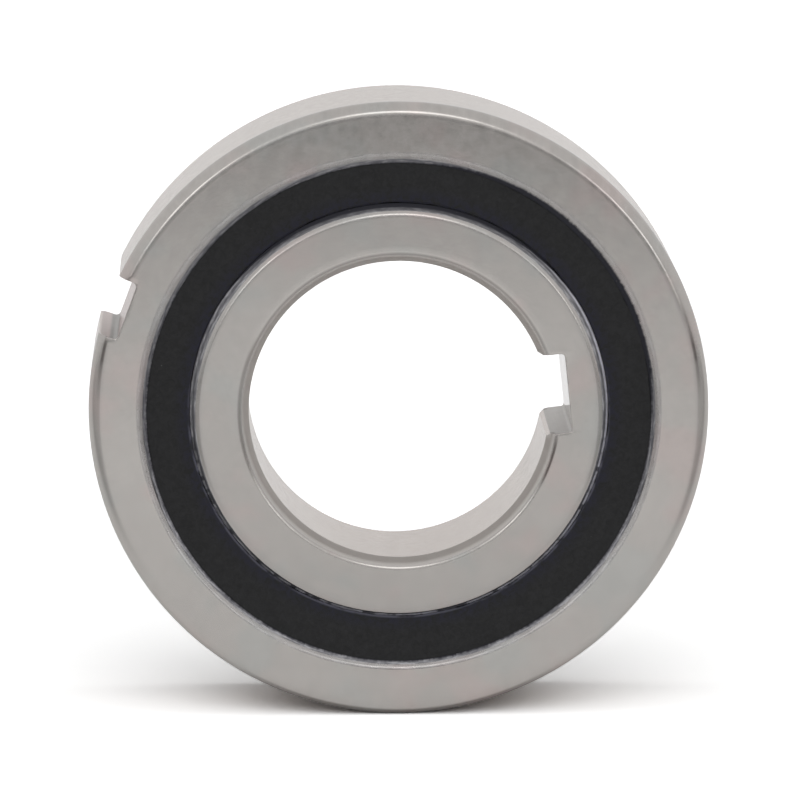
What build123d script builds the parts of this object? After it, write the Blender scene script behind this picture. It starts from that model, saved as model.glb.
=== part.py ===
from build123d import *
import math
import os

# Keyed one-way bearing (sprag clutch), in millimetres.
#
# A ball row carries the load and a sprag row beside it locks one way, both between
# an inner and an outer ring, under a rubber seal on each side.
#
# Frame: the axis of rotation is Y, the front face looks along -Y, and +Z is up.
# The origin is on the axis, midway between the two faces.  Angles are measured
# from +X towards +Z, which is counter-clockwise as seen from the front.

# ---- Envelope --------------------------------------------------------------------
BORE_D = 30.0
OUTSIDE_D = 62.0
WIDTH = 16.0
BORE_CORNER_R = 1.0        # rounding of both ends of the bore
OUTSIDE_CORNER_R = 1.2     # rounding of both ends of the outside

# ---- Keyway in the bore and driving notch in the outside --------------------------
KEYWAY_WIDTH = 8.0
KEYWAY_DEPTH = 2.0         # from the bore to the keyway's floor
KEYWAY_CORNER_R = 0.35
KEYWAY_ANGLE = 6.0
NOTCH_WIDTH = 6.0
NOTCH_DEPTH = 2.1          # from the outside to the notch's floor
NOTCH_CORNER_R = 0.45
NOTCH_ANGLE = 159.5

# ---- Ball row ---------------------------------------------------------------------
BALL_D = 6.0
BALL_COUNT = 13
BALL_FIT = 0.02            # radial clearance between a ball and each groove
GROOVE_SHARE = 0.515       # radius of a groove's curve as a share of the ball's diameter
INNER_GROOVE_DEPTH = 0.9
OUTER_GROOVE_DEPTH = 0.8
BALL_TO_SEAL = 0.55        # axial room between the balls and the front seal

# ---- Ball cage, a crown with snap-in pockets --------------------------------------
POCKET_FIT = 0.12          # gap between a ball and its pocket
CAGE_TO_LAND = 0.45        # radial gap between the cage and each ring's land
CAGE_BACK_WALL = 0.7       # behind the balls, on the sprags' side
CLAW_REACH = 1.75          # how far the claws pass the balls' centres
CLAW_WALL = 0.74

# ---- Sprag row --------------------------------------------------------------------
SPRAG_COUNT = 18
SPRAG_GAP = 5.2            # between the inner and the outer sprag track
SPRAG_THICKNESS = 4.1      # around the row
CAM_R = 2.75               # radius of each of a sprag's two cam faces
CAM_OFFSET = 0.45          # each cam's centre stands this far to its side
CAM_FIT = 0.03             # gap between a cam and its track at rest
WAIST_R = 1.5              # hollow in each side of a sprag
WAIST_DEPTH = 0.4
TRACK_MARGIN = 0.1         # the tracks start this far ahead of the sprag cage

# ---- Sprag cage -------------------------------------------------------------------
ROW_GAP = 0.35             # axial gap between the ball cage and the sprag cage
SPRAG_CAGE_TO_SEAL = 0.4   # axial gap between the sprag cage and the rear seal
SPRAG_CAGE_TO_LAND = 0.6   # radial gap between the sprag cage and the inner land
CAGE_END_WALL = 0.4
WINDOW_END_FIT = 0.1       # gap between a sprag's end and its window
WINDOW_SIDE_FIT = 0.25     # gap between a sprag's side and its window

# ---- Energizing spring, a garter in a slot across the sprags ----------------------
SPRING_COIL_D = 1.0
SPRING_TO_TRACK = 0.35
SPRING_TO_CAGE = 0.15
SLOT_SIDE_FIT = 0.15
SLOT_FLOOR_FIT = 0.2       # the slot's floor lies this far below the cage's outside

# ---- Seals ------------------------------------------------------------------------
SEAL_RECESS = 0.55         # the rubber's face lies this far behind the rings' faces
SEAL_SEAT_DEPTH = 1.7      # the seal's seat lies this far behind the rings' faces
NECK_FIT = 0.05            # gap between the rubber and the neck of its groove
MOUTH_BEVEL = 0.5          # bevel of the outer ring's mouth
SHOULDER_BEVEL = 0.6       # bevel of the inner ring's shoulder
RIM_HEIGHT = 0.85          # of the rubber rim that snaps into the groove
GROOVE_SIDE_FIT = 0.1
SEAL_GROOVE_DEPTH = 0.95   # below the neck
LIP_FIT = 0.06             # running gap between the seal's lip and the inner land
LIP_LENGTH = 0.65
LIP_TIP_WALL = 0.35
LIP_SLOPE = 0.35
CORE_WALL = 0.4            # thickness of the steel washer in the seal
CORE_BORE_MARGIN = 0.3     # the washer's bore is this far outside the lip's root
CORE_RIM_MARGIN = 0.6      # the washer's rim is this far inside the rubber's rim

# ---- Sizes that follow from the ones above ----------------------------------------
BORE_R = BORE_D / 2
OUTSIDE_R = OUTSIDE_D / 2
FACE_Y = WIDTH / 2
PITCH_R = (BORE_R + OUTSIDE_R) / 2
BALL_R = BALL_D / 2
GROOVE_R = GROOVE_SHARE * BALL_D
INNER_GROOVE_FLOOR_R = PITCH_R - BALL_R - BALL_FIT
OUTER_GROOVE_FLOOR_R = PITCH_R + BALL_R + BALL_FIT
INNER_LAND_R = PITCH_R - BALL_R + INNER_GROOVE_DEPTH
OUTER_LAND_R = PITCH_R + BALL_R - OUTER_GROOVE_DEPTH
INNER_TRACK_R = PITCH_R - SPRAG_GAP / 2
OUTER_TRACK_R = PITCH_R + SPRAG_GAP / 2

SEAT_Y = FACE_Y - SEAL_SEAT_DEPTH
BALL_Y = -SEAT_Y + BALL_TO_SEAL + BALL_R
BALL_CAGE_BACK_Y = BALL_Y + BALL_R + CAGE_BACK_WALL
SPRAG_CAGE_FRONT_Y = BALL_CAGE_BACK_Y + ROW_GAP
SPRAG_CAGE_BACK_Y = SEAT_Y - SPRAG_CAGE_TO_SEAL
SPRAG_Y = (SPRAG_CAGE_FRONT_Y + SPRAG_CAGE_BACK_Y) / 2
WINDOW_LENGTH = SPRAG_CAGE_BACK_Y - SPRAG_CAGE_FRONT_Y - 2 * CAGE_END_WALL
SPRAG_LENGTH = WINDOW_LENGTH - 2 * WINDOW_END_FIT
TRACK_FRONT_Y = SPRAG_CAGE_FRONT_Y - TRACK_MARGIN
INNER_TRACK_BACK_Y = SPRAG_CAGE_BACK_Y + TRACK_MARGIN

SPRING_R = OUTER_TRACK_R - SPRING_TO_TRACK - SPRING_COIL_D / 2
SPRAG_CAGE_OUTSIDE_R = SPRING_R - SPRING_COIL_D / 2 - SPRING_TO_CAGE
SPRAG_CAGE_BORE_R = INNER_LAND_R + SPRAG_CAGE_TO_LAND

SEAL_FACE_Y = FACE_Y - SEAL_RECESS
NECK_R = OUTER_LAND_R + NECK_FIT
SEAL_GROOVE_R = NECK_R + SEAL_GROOVE_DEPTH
RIM_R = SEAL_GROOVE_R - NECK_FIT
LIP_R = INNER_LAND_R + LIP_FIT
LIP_ROOT_R = LIP_R + LIP_LENGTH


def block(r_low, r_high, y_low, y_high):
    """Rectangle in the half-plane of radius and Y, from two radii and two Y values."""
    corners = [(r_low, y_low), (r_high, y_low), (r_high, y_high), (r_low, y_high)]
    return make_face(Polyline(corners, close=True))


def turned(section):
    """Solid made by turning a section of radius and Y once about the Y axis."""
    return revolve(section, Axis.Y)


def around(angle):
    """Turn about Y that takes +X towards +Z by an angle in degrees."""
    return Rot(0, -angle, 0)


def slab(outline, y_middle, length):
    """Solid of an outline in X and Z, as long as given and centred at y_middle."""
    front = Plane.XZ.offset(-(y_middle + length / 2))
    return extrude(front * outline, amount=length)


def key_slot(width, floor_r, mouth_r, corner_r):
    """Straight slot through the whole width, along +X, from its mouth to its floor."""
    low_r, high_r = sorted((floor_r, mouth_r))
    outline = Pos((low_r + high_r) / 2, 0) * Rectangle(high_r - low_r, width)
    floor_corners = outline.vertices().group_by(lambda v: abs(v.X - floor_r))[0]
    return slab(fillet(floor_corners, corner_r), 0, 2 * WIDTH)


def seal_pocket():
    """Section cut from the outer ring at the back: bevelled mouth, neck and groove."""
    inside_r = PITCH_R
    neck_y = FACE_Y - MOUTH_BEVEL
    groove_y = SEAT_Y + RIM_HEIGHT + GROOVE_SIDE_FIT
    points = [
        (inside_r, SEAT_Y), (SEAL_GROOVE_R, SEAT_Y), (SEAL_GROOVE_R, groove_y), (NECK_R, groove_y),
        (NECK_R, neck_y), (NECK_R + MOUTH_BEVEL, FACE_Y), (inside_r, FACE_Y),
    ]
    return make_face(Polyline(points, close=True))


def make_outer_ring():
    """Outer ring: ball groove, sprag track, a seal groove at each end and the notch."""
    section = block(OUTER_LAND_R, OUTSIDE_R, -FACE_Y, FACE_Y)
    section = fillet(section.vertices().group_by(Axis.X)[-1], OUTSIDE_CORNER_R)
    section -= Pos(OUTER_GROOVE_FLOOR_R - GROOVE_R, BALL_Y) * Circle(GROOVE_R)
    section -= block(PITCH_R, OUTER_TRACK_R, TRACK_FRONT_Y, SEAT_Y)
    section -= seal_pocket()
    section -= mirror(seal_pocket(), about=Plane.XZ)
    notch = key_slot(NOTCH_WIDTH, OUTSIDE_R - NOTCH_DEPTH, OUTSIDE_R + NOTCH_DEPTH, NOTCH_CORNER_R)
    return turned(section) - around(NOTCH_ANGLE) * notch


def make_inner_ring():
    """Inner ring: ball groove, sprag track, bevelled shoulders and the keyway."""
    section = block(BORE_R, INNER_LAND_R, -FACE_Y, FACE_Y)
    section = fillet(section.vertices().group_by(Axis.X)[0], BORE_CORNER_R)
    section = chamfer(section.vertices().group_by(Axis.X)[-1], SHOULDER_BEVEL)
    section -= Pos(INNER_GROOVE_FLOOR_R + GROOVE_R, BALL_Y) * Circle(GROOVE_R)
    section -= block(INNER_TRACK_R, PITCH_R, TRACK_FRONT_Y, INNER_TRACK_BACK_Y)
    keyway = key_slot(KEYWAY_WIDTH, BORE_R + KEYWAY_DEPTH, BORE_R - KEYWAY_DEPTH, KEYWAY_CORNER_R)
    return turned(section) - around(KEYWAY_ANGLE) * keyway


def ball_places():
    """Turns that carry the first ball's place to every ball's place."""
    return [around(index * 360 / BALL_COUNT) for index in range(BALL_COUNT)]


def make_ball(place):
    """One ball of the ball row, its poles on the line through its centre along Y."""
    return place * Pos(PITCH_R, BALL_Y, 0) * Rot(90, 0, 0) * Sphere(BALL_R)


def make_ball_cage():
    """Crown cage: one ring with a snap-in pocket for each ball and scallops between."""
    front_y = BALL_Y - CLAW_REACH
    bore_r = INNER_LAND_R + CAGE_TO_LAND
    outside_r = OUTER_LAND_R - CAGE_TO_LAND
    pocket_r = BALL_R + POCKET_FIT
    half_pitch = math.pi * PITCH_R / BALL_COUNT
    scallop_r = half_pitch - pocket_r - CLAW_WALL
    pocket = Pos(PITCH_R, BALL_Y, 0) * Sphere(pocket_r)
    scallop = Pos(PITCH_R, front_y, 0) * Rot(0, 90, 0) * Cylinder(scallop_r, outside_r - bore_r + BALL_D)
    scallop = around(180 / BALL_COUNT) * scallop
    cage = turned(block(bore_r, outside_r, front_y, BALL_CAGE_BACK_Y))
    return cage - [place * cut for place in ball_places() for cut in (pocket, scallop)]


def sprag_places():
    """Turns that carry the first sprag's place to every sprag's place."""
    return [around(index * 360 / SPRAG_COUNT) for index in range(SPRAG_COUNT)]


def sprag_outline():
    """Section of a sprag at +X: two cam arcs offset to opposite sides, and a waist."""
    outer_cam_x = math.sqrt((OUTER_TRACK_R - CAM_FIT - CAM_R) ** 2 - CAM_OFFSET ** 2)
    inner_cam_x = math.sqrt((INNER_TRACK_R + CAM_FIT + CAM_R) ** 2 - CAM_OFFSET ** 2)
    outline = Pos(outer_cam_x, CAM_OFFSET) * Circle(CAM_R)
    outline &= Pos(inner_cam_x, -CAM_OFFSET) * Circle(CAM_R)
    outline &= Pos(PITCH_R, 0) * Rectangle(4 * CAM_R, SPRAG_THICKNESS)
    waist_z = SPRAG_THICKNESS / 2 + WAIST_R - WAIST_DEPTH
    outline -= Pos(PITCH_R, waist_z) * Circle(WAIST_R)
    outline -= Pos(PITCH_R, -waist_z) * Circle(WAIST_R)
    return outline


def make_sprag(place):
    """One sprag, with a slot across its outer end for the spring."""
    floor_r = SPRAG_CAGE_OUTSIDE_R - SLOT_FLOOR_FIT
    slot_width = SPRING_COIL_D + 2 * SLOT_SIDE_FIT
    slot_depth = OUTER_TRACK_R - floor_r
    slot = Pos(floor_r + slot_depth / 2, SPRAG_Y, 0) * Box(slot_depth, slot_width, 2 * SPRAG_THICKNESS)
    return place * (slab(sprag_outline(), SPRAG_Y, SPRAG_LENGTH) - slot)


def make_sprag_cage():
    """Sprag cage: one ring with a straight-sided window for each sprag."""
    depth = SPRAG_CAGE_OUTSIDE_R - SPRAG_CAGE_BORE_R
    window = Box(2 * depth, WINDOW_LENGTH, SPRAG_THICKNESS + 2 * WINDOW_SIDE_FIT)
    window = Pos((SPRAG_CAGE_BORE_R + SPRAG_CAGE_OUTSIDE_R) / 2, SPRAG_Y, 0) * window
    section = block(SPRAG_CAGE_BORE_R, SPRAG_CAGE_OUTSIDE_R, SPRAG_CAGE_FRONT_Y, SPRAG_CAGE_BACK_Y)
    return turned(section) - [place * window for place in sprag_places()]


def make_energizing_spring():
    """Closed garter spring, as the plain ring that its coils fill."""
    return turned(Pos(SPRING_R, SPRAG_Y) * Circle(SPRING_COIL_D / 2))


def seal_core_section():
    """Section of the steel washer bonded into the back of a seal."""
    return block(LIP_ROOT_R + CORE_BORE_MARGIN, RIM_R - CORE_RIM_MARGIN, SEAT_Y, SEAT_Y + CORE_WALL)


def make_rear_seal():
    """Rubber of the rear seal: snap-in rim, flat face and a lip near the inner ring."""
    rim_y = SEAT_Y + RIM_HEIGHT
    lip_y = SEAL_FACE_Y - LIP_SLOPE
    points = [
        (RIM_R, SEAT_Y), (RIM_R, rim_y), (NECK_R - NECK_FIT, rim_y), (NECK_R - NECK_FIT, SEAL_FACE_Y),
        (LIP_ROOT_R, SEAL_FACE_Y), (LIP_R, lip_y), (LIP_R, lip_y - LIP_TIP_WALL), (LIP_ROOT_R, SEAT_Y),
    ]
    return turned(make_face(Polyline(points, close=True)) - seal_core_section())


def make_rear_seal_core():
    """Steel washer of the rear seal."""
    return turned(seal_core_section())


def to_front(solid):
    """The same piece at the front, mirrored across the middle of the width."""
    return mirror(solid, about=Plane.XZ)


def make_nodes():
    """Every physical piece, by the name of its node."""
    nodes = {
        "outer_ring": make_outer_ring(),
        "inner_ring": make_inner_ring(),
        "ball_cage": make_ball_cage(),
        "sprag_cage": make_sprag_cage(),
        "energizing_spring": make_energizing_spring(),
        "front_seal": to_front(make_rear_seal()),
        "front_seal_core": to_front(make_rear_seal_core()),
        "rear_seal": make_rear_seal(),
        "rear_seal_core": make_rear_seal_core(),
    }
    for number, place in enumerate(ball_places(), start=1):
        nodes[f"ball_{number:02d}"] = make_ball(place)
    for number, place in enumerate(sprag_places(), start=1):
        nodes[f"sprag_{number:02d}"] = make_sprag(place)
    return nodes


os.makedirs("parts", exist_ok=True)
for node_name, node_solid in make_nodes().items():
    export_step(node_solid, f"parts/{node_name}.step")
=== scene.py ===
"""Keyed one-way bearing (sprag clutch), dressed for a plain studio.

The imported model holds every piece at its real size.  This script gives each piece its finish, and
makes finer meshes for the two rings, the two rubber seals and the energizing spring.

Frame, in metres: the axis of rotation is Y, the front face looks along -Y and +Z is up.  The origin
is on the axis, midway between the two end faces.  Angles turn from +X towards +Z.
"""

from __future__ import annotations

import logging
import math
from dataclasses import dataclass
from enum import Enum
from typing import Any, Optional, Union

import bmesh
import bpy
import numpy as np
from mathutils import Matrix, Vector


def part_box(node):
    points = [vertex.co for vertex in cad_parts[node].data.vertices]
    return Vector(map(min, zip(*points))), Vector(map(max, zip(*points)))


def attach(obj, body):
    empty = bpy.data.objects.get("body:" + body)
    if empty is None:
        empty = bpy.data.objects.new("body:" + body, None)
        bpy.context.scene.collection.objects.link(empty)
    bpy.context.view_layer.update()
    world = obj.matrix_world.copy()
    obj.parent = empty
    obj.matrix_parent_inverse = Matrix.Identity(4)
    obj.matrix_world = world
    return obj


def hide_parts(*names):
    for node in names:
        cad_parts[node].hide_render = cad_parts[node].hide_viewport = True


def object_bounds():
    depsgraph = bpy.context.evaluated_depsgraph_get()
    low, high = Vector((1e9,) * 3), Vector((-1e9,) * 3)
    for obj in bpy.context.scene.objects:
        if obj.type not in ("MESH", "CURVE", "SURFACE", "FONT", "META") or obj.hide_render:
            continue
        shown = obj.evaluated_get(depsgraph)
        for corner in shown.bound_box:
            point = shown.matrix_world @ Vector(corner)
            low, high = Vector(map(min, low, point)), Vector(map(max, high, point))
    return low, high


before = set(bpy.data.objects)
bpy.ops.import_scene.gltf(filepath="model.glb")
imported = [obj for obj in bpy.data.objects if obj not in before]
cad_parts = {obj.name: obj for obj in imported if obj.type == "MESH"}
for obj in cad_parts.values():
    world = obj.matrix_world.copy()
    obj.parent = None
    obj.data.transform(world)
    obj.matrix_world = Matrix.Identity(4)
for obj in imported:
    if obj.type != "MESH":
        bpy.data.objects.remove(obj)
CAD_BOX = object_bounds()

MM = 0.001
MERGE_DISTANCE = 0.0004 * MM
SHARP_ANGLE = math.radians(38)
ZONES = "zones"          # per-vertex attribute: ground cylinder, turned bevel, broached slot
WALL_ROWS = (6.74, 5.5, 0.0, -5.5, -6.74)      # Y of the rows on the outside and on the bore
Number = Union[float, "Value"]
Colour = tuple[float, float, float]

log = logging.getLogger("sprag_clutch")


class Side(Enum):
    """The two ends of the bearing, by the sign of Y."""

    FRONT = -1
    REAR = 1


class Void(Enum):
    """Which way a ring's slot opens: towards larger or towards smaller radius."""

    OUTSIDE = 1
    BORE = -1


# ---- Shader expressions ----


class Value:
    """One output of a shader node, with Python's operators adding Math nodes to the tree."""

    def __init__(self, nodes: "Nodes", socket: bpy.types.NodeSocket) -> None:
        """Keeps the socket and the tree that it belongs to."""
        self.nodes = nodes
        self.socket = socket

    def out(self, name: str) -> "Value":
        """Another output of the same node."""
        return Value(self.nodes, self.socket.node.outputs[name])

    def _math(self, operation: str, *terms: Number) -> "Value":
        """A Math node of these terms."""
        return self.nodes.add("ShaderNodeMath", {"operation": operation}, dict(enumerate(terms)))

    def __add__(self, other: Number) -> "Value":
        """Sum."""
        return self._math("ADD", self, other)

    __radd__ = __add__

    def __mul__(self, other: Number) -> "Value":
        """Product."""
        return self._math("MULTIPLY", self, other)

    __rmul__ = __mul__

    def __sub__(self, other: Number) -> "Value":
        """Difference."""
        return self._math("SUBTRACT", self, other)

    def __rsub__(self, other: Number) -> "Value":
        """Difference, taken from a plain number."""
        return self._math("SUBTRACT", other, self)

    def __truediv__(self, other: Number) -> "Value":
        """Quotient."""
        return self._math("DIVIDE", self, other)

    def root(self) -> "Value":
        """Square root."""
        return self._math("SQRT", self)

    def size(self) -> "Value":
        """Absolute value."""
        return self._math("ABSOLUTE", self)

    def step(self, low: float, high: float) -> "Value":
        """Smooth step from 0 at low to 1 at high; low may be the larger of the two.

        Args:
            low: the value that gives 0.
            high: the value that gives 1.

        Returns:
            The stepped value.
        """
        ends = {"From Min": low, "From Max": high, "To Min": 0.0, "To Max": 1.0}
        if low > high:
            ends = {"From Min": high, "From Max": low, "To Min": 1.0, "To Max": 0.0}
        smooth = {"interpolation_type": "SMOOTHSTEP"}
        return self.nodes.add("ShaderNodeMapRange", smooth, {"Value": self, **ends})


class Nodes:
    """The node tree of one material or world, and the one method that adds nodes to it."""

    def __init__(self, tree: bpy.types.NodeTree) -> None:
        """Starts from an empty tree."""
        self.tree = tree
        tree.nodes.clear()

    def add(self, kind: str, settings: Optional[dict[str, Any]] = None,
            inputs: Optional[dict[Union[str, int], Any]] = None, out: Union[str, int] = 0) -> Value:
        """Adds a node.

        Args:
            kind: the node's type.
            settings: its properties, set before its sockets.
            inputs: the number, colour or link of each socket, by name or place.
            out: the output that is returned.

        Returns:
            That output.
        """
        node = self.tree.nodes.new(kind)
        for name, value in (settings or {}).items():
            setattr(node, name, value)
        for name, value in (inputs or {}).items():
            socket = node.inputs[name]
            if isinstance(value, Value):
                self.tree.links.new(value.socket, socket)
            elif isinstance(value, tuple) and len(value) == 3 and socket.type == "RGBA":
                socket.default_value = (*value, 1.0)
            else:
                socket.default_value = value
        return Value(self, node.outputs[out]) if len(node.outputs) else Value(self, None)

    def place(self) -> Value:
        """The point on the surface, in the part's own frame, in millimetres."""
        point = self.add("ShaderNodeTexCoord", out="Object")
        return self.add("ShaderNodeVectorMath", {"operation": "SCALE"}, {0: point, "Scale": 1.0 / MM})

    def split(self, vector: Value) -> tuple[Value, Value, Value]:
        """The three numbers of a vector."""
        parts = self.add("ShaderNodeSeparateXYZ", None, {0: vector})
        return parts, parts.out("Y"), parts.out("Z")

    def join(self, x: Number, y: Number, z: Number) -> Value:
        """A vector of three numbers."""
        return self.add("ShaderNodeCombineXYZ", None, {0: x, 1: y, 2: z})

    def noise(self, point: Value, scale: float, detail: float = 2.0, roughness: float = 0.5,
              distortion: float = 0.0) -> Value:
        """Fractal noise about 0.5, with scale in cells per unit of the point."""
        ins = {"Vector": point, "Scale": scale, "Detail": detail, "Roughness": roughness,
               "Distortion": distortion}
        return self.add("ShaderNodeTexNoise", None, ins)

    def drawn(self, x: Number, y: Number, z: Number, detail: float, roughness: float) -> Value:
        """Noise on a point of three numbers, each scaled by itself, so it can be drawn out."""
        return self.noise(self.join(x, y, z), 1.0, detail, roughness)

    def cells(self, point: Value, scale: float) -> Value:
        """Distance to the nearest point of a scattered set, in cells."""
        return self.add("ShaderNodeTexVoronoi", {"feature": "F1"}, {"Vector": point, "Scale": scale})

    def mix(self, factor: Number, low: Union[Colour, Value], high: Union[Colour, Value]) -> Value:
        """A colour between two colours."""
        return self.add("ShaderNodeMix", {"data_type": "RGBA"}, {0: factor, 6: low, 7: high}, out=2)

    def tint(self, colour: Union[Colour, Value], gain: Value) -> Value:
        """A colour made lighter or darker by a gain about 1."""
        grey = self.join(gain, gain, gain)
        ins = {0: 1.0, 6: colour, 7: grey}
        return self.add("ShaderNodeMix", {"data_type": "RGBA", "blend_type": "MULTIPLY"}, ins, out=2)

    def attribute(self, name: str) -> Value:
        """A vector stored at the mesh's vertices."""
        return self.add("ShaderNodeAttribute", {"attribute_name": name}, out="Vector")

    def surface(self, colour: Value, rough: Value, height: Value, depth: float, strength: float,
                metal: float = 1.0, specular: float = 0.5) -> None:
        """Ends a material in one Principled shader.

        Args:
            colour: its base colour.
            rough: its roughness.
            height: a height from 0 to 1 that bends the normal.
            depth: what that height stands for, in millimetres.
            strength: how strongly it bends the normal.
            metal: its metallic level.
            specular: its specular level.
        """
        bent = self.add("ShaderNodeBump", None,
                        {"Height": height, "Distance": depth * MM, "Strength": strength})
        shader = self.add("ShaderNodeBsdfPrincipled", None, {
            "Base Color": colour, "Roughness": rough, "Normal": bent, "Metallic": metal,
            "Specular IOR Level": specular})
        self.add("ShaderNodeOutputMaterial", None, {"Surface": shader})


# ---- Finishes ----


@dataclass(frozen=True)
class Finish:
    """A procedural finish; each kind paints its own node tree."""

    name: str

    def material(self) -> bpy.types.Material:
        """The finish's material, made once."""
        made = bpy.data.materials.get(self.name)
        if made is None:
            made = bpy.data.materials.new(self.name)
            made.use_nodes = True
            self.paint(Nodes(made.node_tree))
        return made

    def paint(self, nodes: Nodes) -> None:
        """Builds the node tree."""
        raise NotImplementedError

    def dress(self, piece: bpy.types.Object) -> None:
        """Gives a whole piece this finish."""
        piece.data.materials.clear()
        piece.data.materials.append(self.material())


def around_ring(nodes: Nodes, x: Value, z: Value) -> tuple[Value, Value, Value]:
    """Radius in millimetres, and the cosine and sine of the angle round the bearing."""
    radius = (x * x + z * z).root()
    return radius, x / radius, z / radius


def band(radius: Value, middle: Number, reach: float, core: float) -> Value:
    """A soft band round the axis: 1 within core of its middle radius, and 0 beyond reach."""
    return (radius - middle).size().step(reach, core)


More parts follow.
